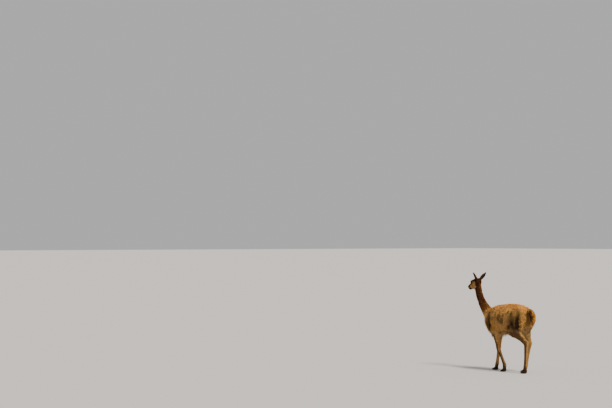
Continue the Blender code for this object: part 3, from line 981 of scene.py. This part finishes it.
# the coat: length and width of the tufts, and roots to a square metre, by part of the body
coat = {
    "tufts": {trunkPart: (0.044, 0.0058, 66000), neckPart: (0.028, 0.0042, 80000),
              tailPart: (0.062, 0.0062, 60000), earPart: (0.0090, 0.0020, 230000)},
    "legTufts": [(0.009, 0.026), (0.0024, 0.0028), (105000, -55000)],       # at the foot, and more above
    "legRise": (0.10, 0.56),
    "headTufts": [(0.0115, -0.0080), (0.0024, -0.0010), (210000, 150000)],  # and more on the muzzle
    "muzzleRise": (0.05, 0.20),
    "cheekMore": 0.008,
    "eyeTufts": (0.0035, 0.004),         # longest by the lids' rim, and how much more away from it
    "eyeRise": (1.3, 3.0),
    "eyeReach": 0.045,
    "bareNose": (0.204, 0.213),
    "bareLids": (1.28, 1.40),
    "bareSole": 0.012,
    "bareMouth": (0.0022, 0.165),        # distance from its line, and along the head
    "undersideHeight": 0.53,
    "undersideMore": 1.25,
    "leastDepth": 0.0016,
    "rootDepth": 0.0010,
    "floorGap": 0.0004,
    "patch": 0.003,
    "seed": 11,
    # how tufts lie: clumpSize is of a lock, turn how far locks turn aside, pull how far their
    # tips gather, and hang how far they fall free
    "wool": {"clumpSize": 0.014, "turn": 0.20, "pull": 0.36, "curl": 0.22},
    "short": {"clumpSize": 0.008, "turn": 0.12, "pull": 0.2, "curl": 0.1},
    "standard": {"density": 1.0, "most": 12000, "length": 1.0, "width": 1.0, "depth": 1.0, "clump": 1.0,
                 "rings": 3, "thickness": 0.26, "hang": 0.0},
    "changes": {
        "coatBelly": {"density": 0.8},
        "coatNeck": {"clump": 0.7},
        "coatTail": {"clump": 0.7, "curl": 0.15},
        "coatHead": {"rings": 2, "most": 19000},
        "coatEars": {"rings": 2},
        "coatForeLegs": {"rings": 2, "most": 19000},
        "coatHindLegs": {"rings": 2, "most": 19000},
        "bellyFringe": {"density": 0.42, "length": 1.5, "width": 0.8, "depth": 1.1, "most": 3000,
                        "pull": 0.55, "hang": 0.7},
        "tailTip": {"density": 0.7, "length": 0.95, "width": 0.8, "depth": 0.9, "pull": 0.5, "hang": 0.75},
        "chestBib": {"density": 0.45, "length": 1.5, "width": 0.8, "most": 4000, "pull": 0.6,
                     "hang": 0.35},
    },
    # share along the tuft, width and height of each of its rings
    "rings": {3: [(0.0, 0.60, 0.0), (0.34, 1.0, 0.55), (0.70, 0.72, 0.90)],
              2: [(0.0, 0.75, 0.0), (0.5, 0.95, 0.65)]},
    "cornerWidth": 0.866,
}


def flowOf(points, normals, part):
    # the way the hairs point: back and down the trunk, down neck and legs, back over the face
    x, y = points.T[:2]
    local = inHead(points)
    side = np.sign(x)
    headSide = np.sign(local[:, 0])
    topShare = smoothStep(normals[:, 2], 0.25, 0.85)[:, None]
    rearShare = smoothStep(normals[:, 1], 0.35, 0.80)[:, None]
    bellyShare = smoothStep(-normals[:, 2], 0.55, 0.9)[:, None]
    way = rowsOf(x, 0, 0.30, -1) * (1 - topShare) + rowsOf(x, 0.35 * side, 1, -0.1) * topShare
    way = way * (1 - rearShare) + rowsOf(x, 0.1 * side, 0, -1) * rearShare
    way = way * (1 - bellyShare) + np.array((0.0, 1.0, -0.3)) * bellyShare
    dy, dz = neckPlace(points)[2:]
    cheek = 1 - smoothStep(local[:, 2], -0.03, 0.03)
    aimSide, aimAlong, aimUp = ear["aim"]
    legWay = rowsOf(x, 0, 0.08, -1)
    tailDown = smoothStep(y, 0.50, 0.59)
    ways = {
        neckPart: rowsOf(x, 0, -dy, -dz),
        headPart: rowsOf(x, 0.15 * headSide, -1, -0.35 * cheek) @ headAxes.T,
        earPart: rowsOf(x, headSide * aimSide, aimAlong, aimUp) @ headAxes.T,
        foreLegPart: legWay,
        hindLegPart: legWay,
        tailPart: rowsOf(x, 0, 1 - tailDown, -tailDown),
    }
    for which, its in ways.items():
        way = np.where((part == which)[:, None], its, way)
    return unit(way)


def tuftSizes(points, part):
    # length, width and roots to a square metre of the tufts at each point
    z = points[:, 2]
    local = inHead(points)
    along, above = local[:, 1], local[:, 2]
    onHead = part == headPart
    legShare = smoothStep(z, *coat["legRise"])
    muzzle = smoothStep(along, *coat["muzzleRise"])
    cheek = (1 - smoothStep(along, 0.02, 0.10)) * (1 - smoothStep(above, -0.03, 0.02))
    onLegs = np.stack([low + more * legShare for low, more in coat["legTufts"]], axis=1)
    onFace = np.stack([low + more * muzzle for low, more in coat["headTufts"]], axis=1)
    onFace[:, 0] += coat["cheekMore"] * cheek
    sizes = byPart(coat["tufts"], part, (0.0, 0.0, 0.0))
    sizes = np.where(isLeg(part)[:, None], onLegs, sizes)
    length, width, roots = np.where(onHead[:, None], onFace, sizes).T
    bare = smoothStep(along - above * 0.15, *coat["bareNose"]) * onHead
    for side in (-1, 1):
        distance, rim = eyeOpening(local, side)
        nearEye = (distance < coat["eyeReach"]) & onHead
        shortest, more = coat["eyeTufts"]
        longest = shortest + more * smoothStep(rim, *coat["eyeRise"])
        length = np.where(nearEye, np.minimum(length, longest), length)
        bare = np.maximum(bare, (1 - smoothStep(rim, *coat["bareLids"])) * nearEye)
    bare = np.maximum(bare, (z < coat["bareSole"]) * 1.0)
    reach, start = coat["bareMouth"]
    bare = np.maximum(bare, (mouthDistance(local) < reach) & onHead & (along > start))
    underside = (part == trunkPart) & (z < coat["undersideHeight"])
    return np.where(underside, length * coat["undersideMore"], length), width, roots * (1 - bare)


class Lie:
    # the skin's places, and how the coat lies at each of its vertices
    def __init__(self, piece):
        mesh = piece.data
        self.points = pointsOf(mesh)
        self.normals = normalsOf(mesh)
        self.part = partsOf(self.points)
        self.flow = eased(mesh, flowOf(self.points, self.normals, self.part), 10)
        length, width, self.roots = tuftSizes(self.points, self.part)
        depth = np.maximum(coatDepth(self.points, self.part), coat["leastDepth"])
        self.fields = eased(mesh, np.stack([length, width, depth], axis=1), 6)
        mesh.calc_loop_triangles()
        self.faces = readAll(mesh.loop_triangles, "vertices", 3, np.int32)
        corners = readAll(mesh.loop_triangles, "loops", 3, np.int32)
        self.unwrap = readAll(mesh.uv_layers["OFBake"].uv, "vector", 2, np.float32)[corners]
        self.tree = BVHTree.FromPolygons(self.points.tolist(), self.faces.tolist())
        a, b, c = (self.points[self.faces[:, k]] for k in range(3))
        self.area = 0.5 * lengths(np.cross(b - a, c - a))
        self.middle = (a + b + c) / 3
        self.facePart = self.part[self.faces[:, 0]]
        self.faceNormal = self.normals[self.faces].mean(axis=1)
        self.faceDepth = self.fields[self.faces, 2].mean(axis=1)


def settled(lie, spots, lift):
    # each spot moved onto the skin and then out, by a share of the coat's depth there
    nearest = [lie.tree.find_nearest(spot) for spot in spots]
    placed = np.array([found[0] for found in nearest])
    faces = np.array([found[2] for found in nearest])
    outward = unit(lie.faceNormal[faces])
    return placed + outward * (lift * lie.faceDepth[faces])[:, None], outward


def scatterRoots(lie, chosen, look, rng):
    # roots spread evenly over the chosen faces, and what the skin says at each
    weight = lie.area * lie.roots[lie.faces].mean(axis=1) * chosen
    count = int(min(weight.sum() * look["density"], look["most"]))
    order = np.cumsum(weight)
    draws = (np.arange(count) + rng.random(count)) / count * order[-1]
    face = np.minimum(np.searchsorted(order, draws), len(order) - 1)
    first = np.sqrt(rng.random(count))
    second = rng.random(count)
    corner = np.stack([1 - first, first * (1 - second), first * second], axis=1)[:, :, None]
    found = [(values[lie.faces[face]] * corner).sum(axis=1)
             for values in (lie.points, lie.normals, lie.flow, lie.fields)]
    patch = (lie.unwrap[face] * corner).sum(axis=1)
    root, normal, flow, fields = found
    return root, unit(normal), flow, fields, np.clip(patch, 0.003, 0.997)


def meshPiece(name, points, corners, unwrap):
    mesh = bpy.data.meshes.new(name)
    mesh.vertices.add(len(points))
    mesh.vertices.foreach_set("co", points.astype(np.float32).ravel())
    mesh.loops.add(len(corners))
    mesh.loops.foreach_set("vertex_index", corners.astype(np.int32))
    mesh.polygons.add(len(corners) // 3)
    mesh.polygons.foreach_set("loop_start", np.arange(0, len(corners), 3, dtype=np.int32))
    mesh.update(calc_edges=True)
    layer = mesh.uv_layers.new(name="OFBake")
    layer.uv.foreach_set("vector", unwrap[corners].astype(np.float32).ravel())
    mesh.shade_smooth()
    piece = bpy.data.objects.new(name, mesh)
    bpy.context.scene.collection.objects.link(piece)
    return piece


def spikeFaces(rings):
    # the triangles of one closed spike: its rings from root to tip, then its point
    faces = []
    for start in range(0, (rings - 1) * 3, 3):
        for corner in range(3):
            a = start + corner
            b = start + (corner + 1) % 3
            faces += [(a, b, b + 3), (a, b + 3, a + 3)]
    last = (rings - 1) * 3
    faces += [(last + corner, last + (corner + 1) % 3, rings * 3) for corner in range(3)]
    return np.array(faces + [(0, 2, 1)])


def growTufts(lie, name, chosen, kind):
    # closed tufts on the chosen faces of the skin, each bent along the lie of the coat
    look = {**coat["standard"], **coat[kind], **coat["changes"].get(name, {})}
    rng = np.random.default_rng(coat["seed"] + sum(ord(letter) for letter in name))
    root, normal, flow, fields, patch = scatterRoots(lie, chosen, look, rng)
    length, width, depth = fields.T
    length = length * look["length"]
    width = width * look["width"]
    count = len(root)

    # neighbouring tufts gather into locks, which turn and rise together
    size = look["clumpSize"] * look["clump"]
    clumps = max(8, min(count // 5, int(lie.area[chosen].sum() / size ** 2)))
    centres = rng.choice(count, clumps, replace=False)
    tree = KDTree(clumps)
    for k, which in enumerate(centres):
        tree.insert(root[which], k)
    tree.balance()
    mine = np.array([tree.find(spot)[1] for spot in root])
    clumpTurn = rng.normal(0, look["turn"], clumps)
    clumpRise = rng.uniform(0.62, 1.16, clumps)
    clumpTint = rng.random(clumps)
    clumpLong = rng.uniform(0.8, 1.2, clumps)
    turnBy = clumpTurn[mine] + rng.normal(0, 0.14, count)
    flow = unit(flow - normal * (flow * normal).sum(axis=1)[:, None])
    flow = flow * np.cos(turnBy)[:, None] + np.cross(normal, flow) * np.sin(turnBy)[:, None]
    side = np.cross(normal, flow)
    reach = length * clumpLong[mine] * rng.uniform(0.8, 1.15, count)
    tip = root + flow * reach[:, None]
    tip = tip * (1 - look["pull"]) + tip[centres][mine] * look["pull"]
    lift = clumpRise[mine] * rng.uniform(0.85, 1.12, count) * look["depth"]
    curl = look["curl"] * width * 2
    phase = rng.uniform(0, math.tau, count)
    hang = look["hang"]

    def freeSpot(share):
        # where a lock that hangs straight down would be
        fall = np.array((0.0, 0.06, -1.0)) * (reach * share)[:, None]
        return root + normal * (lift * depth * 0.6)[:, None] + fall

    rings = coat["rings"][look["rings"]]
    pointCount = len(rings) * 3 + 1
    points = np.empty((count, pointCount, 3))
    hair = np.zeros((count, pointCount, 3))
    unwrap = np.empty((count, pointCount, 2))
    for k, (share, swell, height) in enumerate(rings):
        spot = root + (tip - root) * share
        spot = spot + side * (curl * np.sin(phase + share * 5.0) * min(share * 3, 1))[:, None]
        if k == 0:
            middle = root - normal * coat["rootDepth"]
            outward = normal
        else:
            middle, outward = settled(lie, spot, lift * height)
            middle = middle * (1 - hang * share) + freeSpot(share) * hang * share
        across = unit(side - outward * (side * outward).sum(axis=1)[:, None])
        for corner in range(3):
            angle = math.radians(90 + 120 * corner)
            wide = across * (width * 0.5 * swell * math.cos(angle) / coat["cornerWidth"])[:, None]
            thick = outward * (width * look["thickness"] * swell * math.sin(angle))[:, None]
            points[:, k * 3 + corner] = middle + wide + thick
            unwrap[:, k * 3 + corner] = ((corner - 1) * 0.5, share - 0.5)
        hair[:, k * 3:k * 3 + 3, 0] = share
    end = settled(lie, tip, lift)[0]
    points[:, -1] = end * (1 - hang) + freeSpot(1.0) * hang
    points[:, :, 2] = np.maximum(points[:, :, 2], coat["floorGap"])
    unwrap[:, -1] = (0.0, 0.5)
    hair[:, -1, 0] = 1.0
    hair[:, :, 1] = np.clip(0.4 * clumpTint[mine] + 0.6 * rng.random(count), 0, 1)[:, None]
    part = partsOf(root)
    pale = (1 - smoothStep(root[:, 2], 0.50, 0.60)) * (part == trunkPart) * 0.28
    pale = np.maximum(pale, 0.45 * (part == tailPart) * (1 - smoothStep(root[:, 2], 0.62, 0.70)))
    hair[:, :, 2] = pale[:, None]

    faces = spikeFaces(len(rings))[None, :, :] + (np.arange(count) * pointCount)[:, None, None]
    unwrap = patch[:, None, :] + unwrap * coat["patch"]
    piece = meshPiece(name, points.reshape(-1, 3), faces.reshape(-1), unwrap.reshape(-1, 2))
    addMarks(piece.data, np.repeat(markings(root, normal, part), pointCount, axis=0), hair.reshape(-1, 3))
    piece.data.materials.append(furMaterials[kind])
    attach(piece, "root")
    print(name, count, "tufts", faces.size // 3, "triangles")


def growCoat():
    lie = Lie(skinPiece)
    print("lie of the coat worked out")
    x, y, z = lie.middle.T
    normalY, normalZ = lie.faceNormal[:, 1], lie.faceNormal[:, 2]
    onTrunk = lie.facePart == trunkPart
    onTail = lie.facePart == tailPart
    back = onTrunk & (normalZ > 0.55)
    belly = onTrunk & (normalZ < -0.55)
    rump = onTrunk & ~back & ~belly & (y > 0.42)
    flank = onTrunk & ~back & ~belly & ~rump
    for name, chosen, kind, slotName in (
            ("coatBack", back, "wool", "coat"),
            ("coatFlankLeft", flank & (x > 0), "wool", "coat"),
            ("coatFlankRight", flank & (x <= 0), "wool", "coat"),
            ("coatRump", rump, "wool", "coat"),
            ("coatBelly", belly, "wool", "coat"),
            ("coatNeck", lie.facePart == neckPart, "wool", "coat"),
            ("coatTail", onTail, "wool", "coat"),
            ("coatHead", lie.facePart == headPart, "short", "coat"),
            ("coatEars", lie.facePart == earPart, "short", "ear"),
            ("coatForeLegs", lie.facePart == foreLegPart, "short", "coat"),
            ("coatHindLegs", lie.facePart == hindLegPart, "short", "coat"),
            ("bellyFringe", onTrunk & (z < 0.56) & (normalZ < 0.15) & (normalZ > -0.85), "wool", "coat"),
            ("tailTip", onTail & (z < 0.70), "wool", "coat"),
            ("chestBib", onTrunk & (y < -0.08) & (z < 0.70) & (normalY < -0.2), "wool", "coat")):
        growTufts(lie, name, chosen, kind)


growCoat()


# the lashes: dark, along both upper lids, each a thin closed spike
lashes = {
    "count": 30, "length": 0.0105, "width": 0.0009,
    "from": math.radians(15), "to": math.radians(165),
    "rimShare": 1.04, "sag": 0.0016, "lidShare": 0.6,
    "rings": [(-0.12, 1.0, 0.0), (0.55, 0.7, -0.06)],      # share along, width, and how far up
    "tipRise": 0.02,
}


def lashPoints(side, k):
    # the rings and point of one lash, in the head's frame
    outward, forward, upward = eyeAxes(side)
    angle = lashes["from"] + (lashes["to"] - lashes["from"]) * k / (lashes["count"] - 1)
    h = math.cos(angle) * face["openingHalfLength"] * lashes["rimShare"]
    v = math.sin(angle) * face["openingHalfHeight"] * lashes["rimShare"]
    v -= lashes["sag"] * math.cos(angle) ** 2
    reach = body["eyeRadius"] + face["lidThickness"] * lashes["lidShare"]
    out = math.sqrt(max(reach ** 2 - h ** 2 - v ** 2, 0.0))
    root = eyeCentre(side) + forward * h + upward * v + outward * out
    way = outward * 0.80 + forward * math.cos(angle) * 0.45 + upward * (0.30 + 0.06 * (k % 3))
    way = way / np.linalg.norm(way)
    across = np.cross(way, upward)
    across = across / np.linalg.norm(across)
    rise = np.cross(across, way)
    long = lashes["length"] * (0.75 + 0.25 * math.sin(angle)) * (0.85 + 0.15 * (k % 2))
    points = []
    for share, wide, droop in lashes["rings"]:
        middle = root + way * long * share + upward * long * droop
        for corner in range(3):
            turn = math.radians(90 + 120 * corner)
            spread = lashes["width"] * 0.5 * wide
            points.append(middle + across * spread * math.cos(turn) + rise * spread * math.sin(turn))
    return points + [root + way * long + upward * long * lashes["tipRise"]]


def makeLashes():
    sets = [lashPoints(side, k) for side in (-1, 1) for k in range(lashes["count"])]
    points = inWorld(np.concatenate(sets))
    starts = np.arange(len(sets)) * len(sets[0])
    corners = (spikeFaces(len(lashes["rings"]))[None, :, :] + starts[:, None, None]).reshape(-1)
    turn = np.arange(len(points))
    unwrap = np.stack([0.5 + 0.4 * np.cos(turn), 0.5 + 0.4 * np.sin(turn)], axis=1)
    piece = meshPiece("lashes", points, corners, unwrap)
    addMarks(piece.data, np.zeros((len(points), 3)) + tones["eyeRim"], rowsOf(turn, 0.5, 0.5, 0.0))
    inEditMode(piece, "SELECT", bpy.ops.mesh.normals_make_consistent, inside=False)
    piece.data.materials.append(furMaterials["short"])
    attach(piece, "root")


makeLashes()


# the eyes: dark and glossy, with a brown iris round a wide pupil
eye = {
    "radius": 0.0171, "segments": 48, "rings": 32,
    "bulge": 0.0007,
    "bulgeRise": (0.0105, 0.0165),
    # colours from the pupil's middle outwards
    "stops": [(0.0, (0.003, 0.002, 0.002)), (0.30, (0.004, 0.003, 0.002)), (0.34, (0.035, 0.014, 0.005)),
              (0.60, (0.020, 0.008, 0.003)), (0.66, (0.004, 0.002, 0.002))],
    "fleckScale": 900.0,
    "fleckShare": 0.6,
    "roughness": 0.12,
    "specular": 0.22,
}


def makeEyeMaterial():
    paint, tree, shader = newMaterial("eyeGloss")
    place = addNode(tree, "ShaderNodeUVMap", uv_map="gaze")
    split = addNode(tree, "ShaderNodeSeparateXYZ", {"Vector": place.outputs["UV"]})
    flecks = addGrain(tree, (1.0, 1.0, 1.0), {"Scale": eye["fleckScale"]})
    fleck = addNode(tree, "ShaderNodeMix", {
        "Factor": eye["fleckShare"], "A": addRamp(tree, split.outputs["Y"], eye["stops"]),
        "B": flecks.outputs["Color"],
    }, data_type="RGBA", blend_type="MULTIPLY")
    tree.links.new(fleck.outputs["Result"], shader.inputs["Base Color"])
    shader.inputs["Roughness"].default_value = eye["roughness"]
    shader.inputs["Specular IOR Level"].default_value = eye["specular"]
    return paint


def makeEye(name, side, paint):
    makeActive(None)
    bpy.ops.mesh.primitive_uv_sphere_add(segments=eye["segments"], ring_count=eye["rings"],
                                         radius=eye["radius"])
    ball = bpy.context.object
    ball.name = name
    mesh = ball.data
    points = pointsOf(mesh)
    # the clear front stands a little proud, and the map runs from the pupil outwards
    points[:, 2] += eye["bulge"] * smoothStep(points[:, 2], *eye["bulgeRise"])
    angle = np.arccos(np.clip(points[:, 2] / lengths(points), -1, 1))
    aroundPupil = np.arctan2(points[:, 1], points[:, 0] * 0.8) / math.tau + 0.5
    outward, forward, upward = eyeAxes(side)
    turn = np.stack([forward, upward, outward], axis=0)
    turn[0] *= np.sign(np.linalg.det(turn))
    setPoints(mesh, inWorld(points @ turn + eyeCentre(side)))
    mesh.uv_layers[0].name = "gaze"
    corners = readAll(mesh.loops, "vertex_index", 1, np.int32)
    gaze = np.stack([aroundPupil, angle / (math.pi / 2)], axis=1)[corners]
    mesh.uv_layers["gaze"].uv.foreach_set("vector", gaze.astype(np.float32).ravel())
    inEditMode(ball, "SELECT", bpy.ops.mesh.normals_make_consistent, inside=False)
    mesh.shade_smooth()
    mesh.materials.append(paint)
    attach(ball, "root")
    return ball


eyePaint = makeEyeMaterial()
for sideName, side in (("left", 1), ("right", -1)):
    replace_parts(makeEye("eyeball_" + sideName, side, eyePaint), "eye_" + sideName)
print("eyes set")


# the toenails: smooth dark horn with lengthwise growth lines
nail = {
    "smoothing": 2,
    "stops": [(0.35, tone(38, 31, 25)), (0.75, tone(82, 69, 56))],       # horn, and where it is worn
    "stretch": (1.0, 0.2, 1.0),
    "grainScale": 500.0,
    "roughness": 0.42,
    "relief": (0.4, 0.0004),
}


def makeNailMaterial():
    paint, tree, shader = newMaterial("horn")
    grain = addGrain(tree, nail["stretch"], {"Scale": nail["grainScale"], "Detail": 3.0}).outputs["Fac"]
    tree.links.new(addRamp(tree, grain, nail["stops"]), shader.inputs["Base Color"])
    addRelief(tree, shader, grain, *nail["relief"])
    shader.inputs["Roughness"].default_value = nail["roughness"]
    return paint


hornPaint = makeNailMaterial()
for foot in ("fore_left", "fore_right", "hind_left", "hind_right"):
    for toe in ("1", "2"):
        source = "nail_" + foot + "_" + toe
        horn = joinedCopy([source], "horn_" + foot + "_" + toe)
        addModifier(horn, "SUBSURF", levels=nail["smoothing"], render_levels=nail["smoothing"])
        applyAll(horn)
        horn.data.shade_smooth()
        horn.data.materials.append(hornPaint)
        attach(horn, "root")
        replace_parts(horn, source)
print("nails set")

# the camera, with the animal low on the right of the frame
camera = {
    "height": 1.686, "distance": 18.76, "lineOfSight": math.radians(133),
    "focalPixels": 1450.0, "frameWidth": 612.0, "frameHeight": 408.0, "sensorWidth": 36.0,
    "animalColumn": 514.3, "horizonRow": 240.0, "aim": (0.0, 0.25), "farthest": 300.0,
}


def makeCamera():
    line = camera["lineOfSight"]
    offAxis = math.atan((camera["animalColumn"] - camera["frameWidth"] / 2) / camera["focalPixels"])
    pitch = math.atan((camera["horizonRow"] - camera["frameHeight"] / 2) / camera["focalPixels"])
    data = bpy.data.cameras.new("photoCamera")
    data.sensor_width = camera["sensorWidth"]
    data.lens = camera["sensorWidth"] * camera["focalPixels"] / camera["frameWidth"]
    data.clip_end = camera["farthest"]
    eyePoint = bpy.data.objects.new("photoCamera", data)
    bpy.context.scene.collection.objects.link(eyePoint)
    aimX, aimY = camera["aim"]
    eyePoint.location = Vector((aimX + math.sin(line) * camera["distance"],
                                aimY - math.cos(line) * camera["distance"], camera["height"]))
    eyePoint.rotation_euler = (math.pi / 2 + pitch, 0.0, line + offAxis)
    bpy.context.scene.camera = eyePoint


makeCamera()


# a plain pale floor, soft light all round and one broad key light
studio = {
    "floorSize": 400, "floorColour": (0.62, 0.59, 0.56, 1.0), "floorRoughness": 0.9,
    "skyColour": (0.80, 0.80, 0.80, 1.0), "skyStrength": 0.62,
    "keyEnergy": 4.1, "keyAngle": math.radians(16), "keyColour": (1.0, 0.95, 0.88),
    "keyTurn": (math.radians(38), 0.0, math.radians(175)),
}


def makeStudio():
    bpy.ops.mesh.primitive_plane_add(size=studio["floorSize"], location=(0, 0, 0))
    floor = bpy.context.object
    floor.name = "floor"
    paint, _, shader = newMaterial("studioFloor")
    shader.inputs["Base Color"].default_value = studio["floorColour"]
    shader.inputs["Roughness"].default_value = studio["floorRoughness"]
    floor.data.materials.append(paint)
    world = bpy.data.worlds.new("studio")
    world.use_nodes = True
    background = world.node_tree.nodes["Background"]
    background.inputs["Color"].default_value = studio["skyColour"]
    background.inputs["Strength"].default_value = studio["skyStrength"]
    bpy.context.scene.world = world
    key = bpy.data.lights.new("key", "SUN")
    key.energy = studio["keyEnergy"]
    key.angle = studio["keyAngle"]
    key.color = studio["keyColour"]
    keyLamp = bpy.data.objects.new("key", key)
    bpy.context.scene.collection.objects.link(keyLamp)
    keyLamp.rotation_euler = studio["keyTurn"]


makeStudio()
